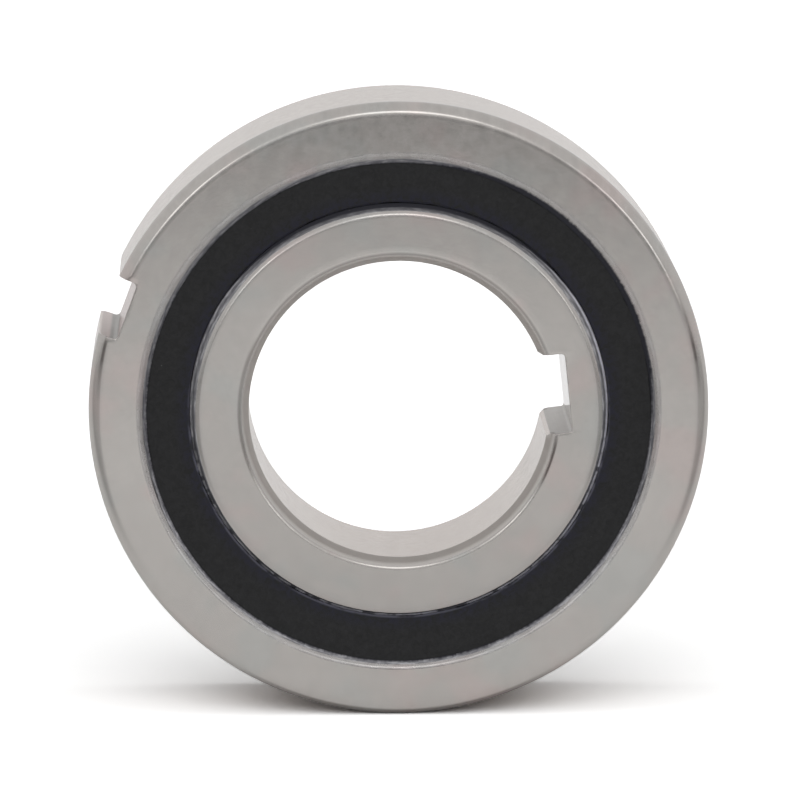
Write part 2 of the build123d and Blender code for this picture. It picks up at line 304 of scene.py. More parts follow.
@dataclass(frozen=True)
class RingSteel(Finish):
    """Hardened bearing steel: lapped end faces, ground cylinders, turned bevels, broached slots.

    Some darker tones, and the shoulder's lighter crest, are set by the angle round the ring.  They aren't wear that
    was measured: they are painted shade, painted dark reflections and painted highlights, which stand in for the
    darker and lighter edges of a ring that stands upright, and they turn with their piece.
    """

    face: Colour = (0.412, 0.392, 0.374)
    face_warm: Colour = (0.430, 0.386, 0.370)
    face_cool: Colour = (0.398, 0.391, 0.376)
    ground: Colour = (0.400, 0.345, 0.312)
    bevel: Colour = (0.165, 0.163, 0.176)
    bevel_light: Colour = (0.425, 0.421, 0.438)
    crest_highlight: Colour = (0.620, 0.620, 0.700)
    chamfered: Colour = (0.480, 0.455, 0.435)
    broached: Colour = (0.365, 0.346, 0.330)
    notch_low_shade: Colour = (0.255, 0.243, 0.232)
    notch_high: Colour = (0.450, 0.388, 0.372)
    key_floor: Colour = (0.580, 0.545, 0.535)
    notch_floor: Colour = (0.420, 0.350, 0.335)
    smear_and_shade: Colour = (0.030, 0.030, 0.036)
    shade_line_tone: Colour = (0.05, 0.034, 0.030)
    speck: Colour = (0.20, 0.18, 0.17)
    mouth_drop: float = 0.30
    corner_shade_line: float = 30.06
    bore_shade_line: float = 16.02
    bore_shade: float = 15.74
    crest: float = 20.74
    crease_shade: float = 20.58
    lip_edge: float = 21.03
    foot_edge: float = 25.23

    def paint(self, nodes: Nodes) -> None:
        """Mixes the four surfaces by the zones stored at the mesh's vertices."""
        point = nodes.place()
        x, y, z = nodes.split(point)
        radius, cosine, sine = around_ring(nodes, x, z)
        ground_zone, bevel_zone, cut = nodes.split(nodes.attribute(ZONES))
        slot_zone, floor_zone = cut.step(0.02, 0.48), cut.step(0.94, 0.995)
        outer = radius.step(24.0, 25.0)

        # Lapped faces: broad tints a few millimetres across, a fine mottle and cloud, and painted shade over the
        # inner face's lower part.  Then painted dark reflections and painted shade as dark lines beside the outer
        # corner and the bore, and over the outer corner's bottom, each over its own part of the circle.
        broad = nodes.noise(point, 0.16, 2.0, 0.5)
        tinted = nodes.mix(broad.step(0.52, 0.68), self.face, self.face_warm)
        tinted = nodes.mix(broad.step(0.46, 0.32), tinted, self.face_cool)
        mottle = nodes.noise(point, 1.3, 3.0, 0.6)
        grain = nodes.noise(point, 9.0, 2.0, 0.6)
        cloud = nodes.noise(point, 0.45, 2.0, 0.55, 0.6)
        smudge = nodes.drawn(x * 0.9, 0.0, z * 0.4, 3.0, 0.6) - 0.5
        face_gain = 1.0 + (mottle - 0.5) * 0.10 + (grain - 0.5) * 0.09 + (cloud - 0.5) * 0.12
        face_gain = face_gain + smudge * sine.step(0.1, 0.8) * outer * 0.26
        # Painted shade: the inner face is darker over its lower part.
        inner_low_shade = radius.step(24.0, 23.0) * sine.step(0.6, -0.2)
        face = nodes.tint(tinted, face_gain * (1.0 - inner_low_shade * 0.08))
        # Painted dark reflections and painted shade: dark lines and bands by angle near the outer corner and the
        # bore's edge.
        beside = sine.step(0.02, 0.16) * sine.step(0.40, 0.27)
        beside = beside + sine.step(0.15, 0.18) * sine.step(0.27, 0.21)
        shade_lines = band(radius, self.corner_shade_line, 0.22, 0.05) * z.step(-1.0, 1.0) * beside * 0.30
        below_key = sine.step(-0.12, -0.25) * sine.step(-0.55, -0.38) * cosine.step(0.7, 0.9)
        shade_lines = shade_lines + band(radius, self.bore_shade_line, 0.20, 0.05) * below_key * 0.70
        shade_lines = shade_lines + band(radius, self.bore_shade_line, 0.22, 0.05) * cosine.step(-0.86, -0.96) * 0.34
        shade_lines = shade_lines + band(radius, self.bore_shade, 0.36, 0.08) * sine.step(0.10, 0.50) * 0.34
        shade_lines = shade_lines + radius.step(30.30, 30.60) * sine.step(-0.82, -0.97) * 0.55
        face = nodes.mix(shade_lines, face, self.shade_line_tone)

        # Ground cylinders: lines round the axis, so the pattern is long in angle and short in Y.
        lines = nodes.drawn(y * 6.0, cosine * 5.0, sine * 5.0, 4.0, 0.65)
        bands = nodes.drawn(y * 0.10, cosine * 6.0, sine * 6.0, 2.0, 0.5)
        ground = nodes.tint(self.ground, 1.0 + (lines - 0.5) * 0.24 + (bands - 0.5) * 0.18)

        # Turned bevels: a light and a dark tone in broken streaks.  The shoulder has a painted highlight on its
        # crest, and its outer part is lighter towards +X, a painted highlight too.  It darkens at the lip, with
        # painted shade further in towards the top, painted shade along its crease, and in dashes lower down.  The
        # mouth's bevel has an uneven dark edge at its foot, wider towards the upper right as painted shade, and
        # painted shade over its upper part.
        streaks = nodes.drawn(radius * 5.5, cosine * 14.0, sine * 14.0, 4.0, 0.7)
        shoulder = radius.step(21.4, 21.2)
        worn = streaks.step(0.40, 0.68)
        # Painted highlight: the shoulder bevel's outer part is lighter, except towards -X.
        worn = worn + radius.step(20.56, 20.66) * shoulder * cosine.step(-0.9, 0.2) * 0.6
        bevel = nodes.mix(worn, self.bevel, self.bevel_light)
        # Painted highlight: a lighter crest on the shoulder, left out at the top and towards -X.
        crest = band(radius, self.crest, 0.14, 0.04) * (0.3 + streaks.step(0.40, 0.60) * 0.7)
        bevel = nodes.mix(crest * sine.step(0.95, 0.30) * cosine.step(-0.85, 0.20), bevel, self.crest_highlight)
        wave = nodes.drawn(cosine * 9.0, sine * 9.0, 0.0, 3.0, 0.6) - 0.5
        # Painted shade: the dark edge at the lip reaches further in towards the top.
        lip_edge = self.lip_edge - sine.step(0.30, 1.0) * 0.50 + wave * 0.22
        dashes = nodes.drawn(cosine * 16.0, sine * 16.0, 4.0, 1.0, 0.5)
        dashes = dashes.step(0.52, 0.62) * 0.8 * sine.step(0.1, -0.3) * radius.step(20.58, 20.64)
        # Painted shade along the bevel's crease, deeper towards the bottom.
        crease_shade = band(radius, self.crease_shade, 0.17, 0.05) * (0.50 + sine.step(0.3, -0.3) * 0.30)
        # Painted shade over the shoulder's top.
        shade = sine.step(0.55, 1.0) * 0.70 * radius.step(20.15, 20.32)
        on_shoulder = (radius - lip_edge).step(-0.06, 0.06)
        for mark in (dashes, crease_shade, shade):
            on_shoulder = on_shoulder + (1.0 - on_shoulder) * mark
        on_shoulder = on_shoulder * shoulder
        hung = (x * x + (z + self.mouth_drop) * (z + self.mouth_drop)).root()
        burrs = nodes.drawn(cosine * 60.0, sine * 60.0, 0.0, 3.0, 0.7) - 0.5
        # The foot's dark edge is ragged; it is wider at the bottom and towards the upper right, which is painted
        # shade.
        foot_edge = self.foot_edge + sine.step(0.0, -1.0) * 0.06 + wave * 0.12 + burrs * 0.36
        foot_edge = foot_edge + (cosine * 0.75 + sine * 0.66).step(0.68, 1.0) * 0.52
        mouth = radius.step(24.0, 24.3)
        at_foot = (hung - foot_edge).step(0.18, -0.14) * mouth
        # Painted shade: the mouth's bevel is darker over its upper part.
        haze = sine.step(-0.6, 0.2) * mouth * 0.45
        # The dark tone is rubber at the lip's and foot's edges, and painted shade elsewhere on the bevels.
        bevel = nodes.mix(on_shoulder + haze, bevel, self.smear_and_shade)

        # Broached slots: lines along the axis, brighter floors, a notch darker low on its walls, which is painted
        # shade deep in the notch.
        strokes = nodes.drawn(x * 2.6, y * 0.05, z * 2.6, 4.0, 0.7)
        # Painted shade: the notch's walls are darker deep in the notch.
        notch = nodes.mix(radius.step(29.62, 29.90), self.notch_low_shade, self.notch_high)
        floors = nodes.mix(outer, self.key_floor, self.notch_floor)
        broached = nodes.mix(floor_zone, nodes.mix(outer, self.broached, notch), floors)
        broached = nodes.tint(broached, 1.0 + (strokes - 0.5) * 0.26)

        # The bore's chamfer is rougher and lighter than the face that it leaves.
        chamfer = radius.step(15.84, 15.60) * (1.0 - ground_zone)
        colour = nodes.mix(chamfer, nodes.mix(ground_zone, face, ground), self.chamfered)
        colour = nodes.mix(bevel_zone, colour, bevel)
        colour = nodes.mix(at_foot, colour, self.smear_and_shade)
        colour = nodes.mix(slot_zone, colour, broached)
        colour = nodes.mix(nodes.cells(point, 1.1).step(0.07, 0.03) * 0.30, colour, self.speck)
        rough = 0.21 + (mottle - 0.5) * 0.12 + (grain - 0.5) * 0.08
        rough = rough + bevel_zone * 0.20 + chamfer * 0.30
        rough = rough + slot_zone * (1.0 - floor_zone * (1.4 - outer * 0.8)) * 0.18
        height = (grain * 0.5 + mottle) * (1.0 - ground_zone) + lines * ground_zone
        height = height + streaks * bevel_zone + strokes * slot_zone
        nodes.surface(colour, rough, height, 0.004, 0.6)


@dataclass(frozen=True)
class SealRubber(Finish):
    """Matt black nitrile rubber with bloom, dust, a fine moulded grain and a stained lip."""

    black: Colour = (0.0010, 0.0010, 0.0014)
    bloom: Colour = (0.0120, 0.0122, 0.0133)
    dust: Colour = (0.070, 0.070, 0.072)
    fringe_highlight: Colour = (0.078, 0.078, 0.102)
    stained: Colour = (0.0055, 0.0055, 0.0160)

    def paint(self, nodes: Nodes) -> None:
        """Bloom, grain, dust specks, a stain at the lip, and a painted highlight: a paler broken fringe over the
        lip's low part.
        """
        point = nodes.place()
        bloom = nodes.noise(point, 0.35, 3.0, 0.6)
        grain = nodes.noise(point, 7.0, 3.0, 0.65)
        patches = nodes.noise(point, 1.7, 3.0, 0.65, 0.8)
        film = bloom * 0.3 + grain * 0.4 + patches * 0.7 - 0.25
        colour = nodes.mix(film.step(0.15, 0.75), self.black, self.bloom)
        specks = nodes.cells(point, 0.9).step(0.05, 0.02) * nodes.noise(point, 0.5).step(0.5, 0.65)
        colour = nodes.mix(specks, colour, self.dust)
        radius, cosine, sine = around_ring(nodes, *nodes.split(point)[::2])
        worn = nodes.drawn(cosine * 12.0, sine * 12.0, radius * 1.5, 2.0, 0.6).step(0.38, 0.60)
        stain = radius.step(22.8, 21.2) * patches.step(0.35, 0.60) * 0.8
        colour = nodes.mix(stain, colour, self.stained)
        # Painted highlight: a paler fringe in broken dashes over the lip's low part.
        fringe = radius.step(21.22, 20.98) * sine.step(0.35, -0.25) * (0.12 + worn * 0.88)
        colour = nodes.mix(fringe, colour, self.fringe_highlight)
        rough = 0.62 + (grain - 0.5) * 0.25 + (bloom - 0.5) * 0.12
        nodes.surface(colour, rough, grain, 0.02, 0.7, metal=0.0, specular=0.30)


@dataclass(frozen=True)
class BallSteel(Finish):
    """Polished chrome steel with the faint bands that rolling leaves."""

    steel: Colour = (0.66, 0.655, 0.645)

    def paint(self, nodes: Nodes) -> None:
        """Nearly mirror bright, with a haze of fine marks."""
        point = nodes.place()
        haze = nodes.noise(point, 2.2, 3.0, 0.6)
        marks = nodes.noise(point, 16.0, 2.0, 0.6)
        colour = nodes.tint(self.steel, 1.0 + (haze - 0.5) * 0.12)
        rough = 0.07 + haze * 0.07 + marks.step(0.62, 0.75) * 0.10
        nodes.surface(colour, rough, marks, 0.001, 0.4)


@dataclass(frozen=True)
class SpragSteel(Finish):
    """Tumbled and lapped sprag steel: worn lighter on the cams than on the sides."""

    body: Colour = (0.34, 0.335, 0.33)
    worn: Colour = (0.52, 0.51, 0.50)

    def paint(self, nodes: Nodes) -> None:
        """The cam tracks are near the two races, so wear follows the radius."""
        point = nodes.place()
        radius = around_ring(nodes, *nodes.split(point)[::2])[0]
        wear = (radius - 23.0).size().step(1.7, 2.5)
        tumble = nodes.noise(point, 5.0, 3.0, 0.65)
        pits = nodes.cells(point, 4.0).step(0.22, 0.08)
        colour = nodes.mix(wear * 0.8 + (tumble - 0.5) * 0.5, self.body, self.worn)
        colour = nodes.mix(pits * 0.35, colour, (0.12, 0.11, 0.10))
        rough = 0.34 - wear * 0.12 + (tumble - 0.5) * 0.2
        nodes.surface(colour, rough, tumble - pits * 0.4, 0.006, 0.6)


@dataclass(frozen=True)
class SpringWire(Finish):
    """Hard-drawn spring wire, faintly oiled."""

    steel: Colour = (0.40, 0.39, 0.375)

    def paint(self, nodes: Nodes) -> None:
        """Draw marks and a thin uneven film of oil."""
        point = nodes.place()
        film = nodes.noise(point, 1.2, 3.0, 0.6)
        draw = nodes.noise(point, 14.0, 2.0, 0.6)
        colour = nodes.tint(self.steel, 0.9 + film * 0.2 + (draw - 0.5) * 0.2)
        nodes.surface(colour, 0.22 + draw * 0.14, draw, 0.003, 0.5)


@dataclass(frozen=True)
class CorePlate(Finish):
    """Rolled and bonded steel sheet inside a seal."""

    steel: Colour = (0.27, 0.265, 0.26)
    bonded: Colour = (0.11, 0.095, 0.08)

    def paint(self, nodes: Nodes) -> None:
        """Rolling lines one way across the sheet, under blots of bonding agent."""
        point = nodes.place()
        x, y, z = nodes.split(point)
        rolled = nodes.drawn(x * 0.15, y * 8.0, z * 7.0, 3.0, 0.6)
        blots = nodes.noise(point, 0.6, 3.0, 0.6)
        colour = nodes.tint(self.steel, 0.8 + rolled * 0.4)
        colour = nodes.mix(blots.step(0.50, 0.62) * 0.7, colour, self.bonded)
        nodes.surface(colour, 0.36 + rolled * 0.2, rolled, 0.006, 0.5, metal=0.9)


@dataclass(frozen=True)
class Polyamide(Finish):
    """Moulded polyamide with short glass fibres showing under the skin."""

    resin: Colour = (0.56, 0.45, 0.26)
    fibre: Colour = (0.70, 0.61, 0.42)

    def paint(self, nodes: Nodes) -> None:
        """Fibres are thin cells drawn out along the flow round the ring."""
        point = nodes.place()
        x, y, z = nodes.split(point)
        radius, cosine, sine = around_ring(nodes, x, z)
        flow = nodes.drawn(radius * 7.0, cosine * 40.0, y * 7.0 + sine * 40.0, 2.0, 0.6)
        cloud = nodes.noise(point, 0.8, 2.0, 0.5)
        colour = nodes.mix(flow.step(0.55, 0.72) * 0.6 + (cloud - 0.5) * 0.3, self.resin, self.fibre)
        nodes.surface(colour, 0.42 + (flow - 0.5) * 0.2, flow, 0.008, 0.5, metal=0.0)


@dataclass(frozen=True)
class FloorSheet(Finish):
    """Matt white paper under the bearing."""

    def paint(self, nodes: Nodes) -> None:
        """Matt paper, whiter to the camera and to metal, and darker to metal alone far ahead, to the sides, and
        near and behind the bearing: painted dark reflections in the rings.
        """
        camera = nodes.add("ShaderNodeLightPath", out="Is Camera Ray")
        metal = camera.out("Is Glossy Ray") * camera.out("Diffuse Depth").step(0.6, 0.4)
        x, y, _ = nodes.split(nodes.place())
        forward = 0.0 - y
        # Painted dark reflections: metal alone sees the floor darker far ahead, to the sides, and near and behind
        # the bearing.
        ahead = forward.step(320.0, 520.0) * forward.step(1400.0, 800.0)
        near = forward.step(150.0, 50.0)
        flank = x.size().step(38.0, 75.0) * forward.step(5.0, 60.0)
        reflected_shade = 1.0 - metal * (ahead * 1.00 + flank * (1.0 - ahead) * 0.38 + near * 0.14)
        grey = (0.80 + camera * 0.80 + metal * 0.60) * reflected_shade
        matt = nodes.add("ShaderNodeBsdfDiffuse", None, {"Color": nodes.join(grey, grey, grey)})
        nodes.add("ShaderNodeOutputMaterial", None, {"Surface": matt})


RING_STEEL = RingSteel("ring_steel_ground")
SEAL_RUBBER = SealRubber("seal_rubber_matt")
BALL_STEEL = BallSteel("ball_steel_polished")
SPRAG_STEEL = SpragSteel("sprag_steel_tumbled")
SPRING_WIRE = SpringWire("spring_wire_drawn")
CORE_PLATE = CorePlate("core_plate_rolled")
FLOOR_SHEET = FloorSheet("floor_sheet")
BALL_CAGE_RESIN = Polyamide("ball_cage_polyamide")
SPRAG_CAGE_RESIN = Polyamide("sprag_cage_polyamide", (0.022, 0.022, 0.023), (0.060, 0.058, 0.055))


# ---- Surfaces ----


@dataclass
class Section:
    """A closed section of a turned piece: rows of radius and Y, in millimetres."""

    radius: np.ndarray
    y: np.ndarray
    ground: np.ndarray
    bevel: np.ndarray
    drop: np.ndarray

    @classmethod
    def eased(cls, corners: list[tuple[float, ...]], steps: int = 12) -> "Section":
        """Rounds the corners of a closed polygon.

        At a corner with easing e and half turn h between its two sides, the arc has radius e, its
        centre stands e / cos(h) from the corner along the bisector, and it touches each side at
        e * tan(h) from the corner.  Points that fall together are kept once.

        Args:
            corners: radius, y, easing radius, ground zone and bevel zone of each corner, in order,
                and how far its circle hangs below the axis where that isn't 0.
            steps: the number of points on each eased corner.

        Returns:
            The section with its corners eased.
        """
        table = np.array([(*corner, 0.0)[:6] for corner in corners], float)
        point, ease = table[:, :2], table[:, 2]
        before = np.roll(point, 1, axis=0) - point
        after = np.roll(point, -1, axis=0) - point
        before /= np.linalg.norm(before, axis=1)[:, None]
        after /= np.linalg.norm(after, axis=1)[:, None]
        dot = np.clip((before * after).sum(1), -1.0, 1.0)
        half_turn = (math.pi - np.arccos(dot)) / 2
        reach = ease * np.tan(half_turn)
        start = point + before * reach[:, None]
        share = np.linspace(0.0, 1.0, steps)[None, :]
        bisector = before + after
        length = np.linalg.norm(bisector, axis=1)
        bisector /= np.where(length > 1e-9, length, 1.0)[:, None]
        centre = point + bisector * (ease / np.cos(half_turn))[:, None]
        spoke = start - centre
        turn = -np.sign(before[:, 0] * after[:, 1] - before[:, 1] * after[:, 0]) * 2 * half_turn
        angle = turn[:, None] * share
        arc = np.stack([
            centre[:, :1] + spoke[:, :1] * np.cos(angle) - spoke[:, 1:] * np.sin(angle),
            centre[:, 1:] + spoke[:, :1] * np.sin(angle) + spoke[:, 1:] * np.cos(angle),
        ], axis=-1).reshape(-1, 2)
        zones = np.repeat(table[:, 3:6], steps, axis=0)
        keep = np.linalg.norm(arc - np.roll(arc, 1, axis=0), axis=1) > 1e-6
        arc, zones = arc[keep], zones[keep]
        return cls(arc[:, 0], arc[:, 1], *zones.T)

    def normals(self) -> tuple[np.ndarray, np.ndarray]:
        """Outward normal of each row, the mean of its two sides' normals, as radius and Y parts."""
        step_r = np.roll(self.radius, -1) - self.radius
        step_y = np.roll(self.y, -1) - self.y
        length = np.hypot(step_r, step_y)
        side_r, side_y = step_y / length, -step_r / length
        area = 0.5 * np.sum(self.radius * np.roll(self.y, -1) - np.roll(self.radius, -1) * self.y)
        normal_r = (side_r + np.roll(side_r, 1)) * np.sign(area)
        normal_y = (side_y + np.roll(side_y, 1)) * np.sign(area)
        size = np.hypot(normal_r, normal_y)
        return normal_r / size, normal_y / size


def placed(name: str, data: bpy.types.ID) -> bpy.types.Object:
    """A new object of this data, in the scene."""
    made = bpy.data.objects.new(name, data)
    bpy.context.scene.collection.objects.link(made)
    return made


def grid_piece(name: str, points: np.ndarray, zones: Optional[np.ndarray] = None) -> bpy.types.Object:
    """Makes a piece from a grid of points that closes on itself both ways.

    Args:
        name: the piece's name.
        points: rows x columns x 3, in millimetres.
        zones: rows x columns x 3 numbers from 0 to 1 for the material, or None.

    Returns:
        The object, at the origin, with its faces pointing outwards.
    """
    rows, columns = points.shape[:2]
    row, column = np.meshgrid(np.arange(rows), np.arange(columns), indexing="ij")
    next_row, next_column = (row + 1) % rows, (column + 1) % columns
    quads = np.stack([row * columns + column, next_row * columns + column,
                      next_row * columns + next_column, row * columns + next_column], axis=-1)
    quads = quads.reshape(-1, 4)
    mesh = bpy.data.meshes.new(name)
    mesh.vertices.add(rows * columns)
    mesh.vertices.foreach_set("co", (points * MM).astype(np.float32).ravel())
    mesh.loops.add(quads.size)
    mesh.loops.foreach_set("vertex_index", quads.astype(np.int32).ravel())
    mesh.polygons.add(len(quads))
    mesh.polygons.foreach_set("loop_start", np.arange(0, quads.size, 4, dtype=np.int32))
    mesh.update(calc_edges=True)
    if zones is not None:
        layer = mesh.attributes.new(ZONES, "FLOAT_VECTOR", "POINT")
        layer.data.foreach_set("vector", zones.astype(np.float32).ravel())
    build = bmesh.new()
    build.from_mesh(mesh)
    bmesh.ops.remove_doubles(build, verts=build.verts, dist=MERGE_DISTANCE)
    bmesh.ops.dissolve_degenerate(build, dist=MERGE_DISTANCE, edges=build.edges)
    bmesh.ops.recalc_face_normals(build, faces=build.faces)
    build.to_mesh(mesh)
    build.free()
    mesh.shade_smooth()
    mesh.set_sharp_from_angle(angle=SHARP_ANGLE)
    piece = placed(name, mesh)
    weight = piece.modifiers.new("face_weights", "WEIGHTED_NORMAL")
    weight.keep_sharp = True
    return piece


@dataclass
class SlottedRing:
    """A turned ring with one straight slot through its whole width; its zone is 0.5 on the walls.

    The slot is worked out in its own axes: p along its middle, away from the axis, and q across.
    A column of the grid in the slot holds q fixed, so that p = sqrt(radius^2 - q^2), and never
    passes the column's cap.  The caps run down one wall, round the floor's corner, along the floor
    and up the other wall.  The columns outside share the rest of each row's circle evenly.
    """

    section: Section
    void: Void
    half_width: float
    floor: float
    corner: float
    angle: float
    face_y: float
    ease: float = 0.05
    round_columns: int = 340
    wall_steps: int = 5
    corner_steps: int = 6
    floor_steps: int = 6
    ease_steps: int = 5

    def _half_columns(self) -> np.ndarray:
        """q, cap, drop, floor easing and slot zone of each column, from one edge to the middle."""
        sign = self.void.value
        mouth = sign * (self.section.radius.max() if sign > 0 else self.section.radius.min()) + 0.2
        base = sign * self.floor
        turn = np.linspace(0.0, math.pi / 2, self.ease_steps)
        cap = np.linspace(mouth, base + self.corner, self.wall_steps + 1)[1:]
        bend = np.linspace(0.0, math.pi / 2, self.corner_steps)[1:]
        across = np.linspace(self.half_width - self.corner, 0.0, self.floor_steps)[1:]
        edge = (self.half_width + self.ease * (1 - np.sin(turn)), mouth,
                self.ease * (1 - np.cos(turn)), 0.0, 0.5 * turn / turn[-1])
        wall = (self.half_width, cap, self.ease, 0.0, 0.5)
        corner = (self.half_width - self.corner * (1 - np.cos(bend)),
                  base + self.corner * (1 - np.sin(bend)),
                  self.ease * np.cos(bend), self.ease * np.sin(bend), 0.5 + 0.5 * bend / bend[-1])
        floor = (across, base, 0.0, self.ease, 1.0)
        parts = (edge, wall, corner, floor)
        return np.concatenate([np.stack(np.broadcast_arrays(*part), axis=1) for part in parts])

    def points(self) -> tuple[np.ndarray, np.ndarray]:
        """The ring's grid and its zones.

        Returns:
            Rows x columns x 3 points in millimetres, and rows x columns x 3 zones.
        """
        sign = self.void.value
        half = self._half_columns()
        low = half * np.array([-1.0, 1, 1, 1, 1])
        slot = np.concatenate([low, half[::-1][1:]])
        q, cap, drop, ease, zone = (slot[:, index][None, :] for index in range(5))
        radius, y = self.section.radius[:, None], self.section.y[:, None]
        normal_r, normal_y = (part[:, None] for part in self.section.normals())

        depth = sign * np.sqrt(np.maximum(radius ** 2 - q ** 2, 0.0))
        base = sign * self.floor
        fade = np.clip((depth - base) / self.corner, 0.0, 1.0)
        depth = depth - drop * fade * normal_r * sign
        y_slot = y - drop * fade * normal_y
        cut = depth > cap - 1e-9
        depth = np.minimum(depth, cap)
        over_p = depth - (cap - ease)
        over_y = np.abs(y_slot) - (self.face_y - ease)
        reach = np.hypot(over_p, over_y)
        square = (ease > 1e-6) & (over_p > 0) & (over_y > 0) & (reach > ease)
        pull = np.where(square, ease / np.maximum(reach, 1e-9), 1.0)
        depth = np.where(square, cap - ease + over_p * pull, depth)
        y_slot = np.where(square, np.sign(y_slot) * (self.face_y - ease + over_y * pull), y_slot)
        p_slot = sign * depth
        q_slot = np.broadcast_to(q, p_slot.shape)

        edge_angle = np.arcsin((self.half_width + self.ease) / radius)
        share = np.linspace(0.0, 1.0, self.round_columns + 2)[None, 1:-1]
        angle = edge_angle + share * (2 * math.pi - 2 * edge_angle)
        p = np.concatenate([p_slot, radius * np.cos(angle)], axis=1)
        q_all = np.concatenate([q_slot, radius * np.sin(angle)], axis=1)
        y_all = np.concatenate([y_slot, np.broadcast_to(y, angle.shape)], axis=1)
        turn = math.radians(self.angle)
        x_all = p * math.cos(turn) - q_all * math.sin(turn)
        z_all = p * math.sin(turn) + q_all * math.cos(turn) - self.section.drop[:, None]

        in_slot = np.concatenate([np.where(cut, zone, 0.0), np.zeros_like(angle)], axis=1)
        ground, bevel = (np.broadcast_to(part[:, None], p.shape)
                         for part in (self.section.ground, self.section.bevel))
        return np.stack([x_all, y_all, z_all], axis=-1), np.stack([ground, bevel, in_slot], axis=-1)


def mirrored(corners: list[tuple[float, ...]]) -> list[tuple[float, ...]]:
    """The same corners at the other end, in the opposite order, so that a section closes."""
    return [(corner[0], -corner[1], *corner[2:]) for corner in reversed(corners)]


def flat_rows(y: float, *radii: float) -> list[tuple[float, ...]]:
    """Sharp corners of one Y, such as rows that divide a flat end face, with no zone."""
    return [(radius, y, 0.0, 0.0, 0.0) for radius in radii]


def race_corners(land: float, centre: float, groove: float, y: float) -> list[tuple[float, ...]]:
    """Sharp corners along a ball race, a groove of round section cut into a land.

    Args:
        land: the land's radius.
        centre: the radius of the groove's centre, inside or outside the land.
        groove: the radius of the groove's section.
        y: the groove's Y.

    Returns:
        The corners, from the rear for an outer ring and from the front for an inner one.
    """
    half_chord = math.sqrt(groove ** 2 - (land - centre) ** 2)
    edge = math.degrees(math.asin(half_chord / groove))
    ends = (edge, -edge) if land > centre else (180 - edge, 180 + edge)
    return [(centre + groove * math.cos(a), y + groove * math.sin(a), 0.0, 0.4, 0.0)
            for a in np.radians(np.linspace(*ends, 21))]


# ---- Sub-assemblies ----


@dataclass
class Ring:
    """What the two rings share: ground steel, and one slot through the whole width."""

    node: str
    void: Void
    slot_width: float
    slot_floor: float
    slot_corner: float
    slot_angle: float

    def __post_init__(self) -> None:
        """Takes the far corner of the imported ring's box."""
        self.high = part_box(self.node)[1]

    def section(self) -> Section:
        """The ring's section."""
        raise NotImplementedError

    def build(self) -> bpy.types.Object:
        """Makes, dresses and mounts the ring."""
        ring = SlottedRing(self.section(), self.void, self.slot_width / 2, self.slot_floor,
                           self.slot_corner, self.slot_angle, self.high.y / MM)
        piece = grid_piece(f"{self.node}_ground", *ring.points())
        return mount(piece, self.node, RING_STEEL, self.node)


@dataclass
class OuterRing(Ring):
    """The outer ring, with its two bevelled mouths, its races and the driving notch."""

    node: str = "outer_ring"
    void: Void = Void.OUTSIDE
    slot_width: float = 6.0
    slot_floor: float = 28.9
    slot_corner: float = 0.45
    slot_angle: float = 159.5
    corner: float = 1.2
    mouth: float = 25.75
    neck: float = 25.17
    mouth_drop: float = 0.30
    land: float = 25.2
    track: float = 25.6
    groove_centre: float = 22.93
    groove: float = 3.09
    groove_y: float = -2.75
    seal_groove: float = 26.2
    seal_groove_y: float = 7.25
    seat_y: float = 6.3
    track_y: float = 1.2

    def section(self) -> Section:
        """The ring's section, from the front mouth round the outside to the rear, and back inside."""
        outside, face = self.high.z / MM, self.high.y / MM
        rear = [
            (outside, face, self.corner, 0.0, 0.0),
            *flat_rows(face, 29.50, 29.20, 29.02, 28.90, 28.78, 28.50, 27.0, 26.30),
            (self.mouth + 0.10, face, 0.70, 0.0, 0.35, self.mouth_drop * 0.6),
            (25.58, face - 0.27, 0.0, 0.0, 1.0, self.mouth_drop),
            (self.neck + 0.06, face - 0.5, 0.04, 0.0, 1.0, self.mouth_drop),
            (self.neck, face - 0.56, 0.0, 0.0, 1.0, self.mouth_drop),
            (self.neck, self.seal_groove_y, 0.03, 0.4, 0.6),
            (self.seal_groove, self.seal_groove_y, 0.05, 0.4, 0.6),
            (self.seal_groove, self.seat_y, 0.05, 0.4, 0.6),
        ]
        inside = [
            (self.track, self.seat_y, 0.05, 0.8, 0.0),
            (self.track, self.track_y, 0.05, 0.8, 0.0),
            (self.land, self.track_y, 0.05, 0.6, 0.0),
            *race_corners(self.land, self.groove_centre, self.groove, self.groove_y),
            (self.land, -self.seat_y, 0.05, 0.6, 0.0),
        ]
        outer_wall = [(outside, y, 0.0, 1.0, 0.0) for y in WALL_ROWS]
        front = mirrored(rear)
        return Section.eased([*rear, *inside, *front, *reversed(outer_wall)])


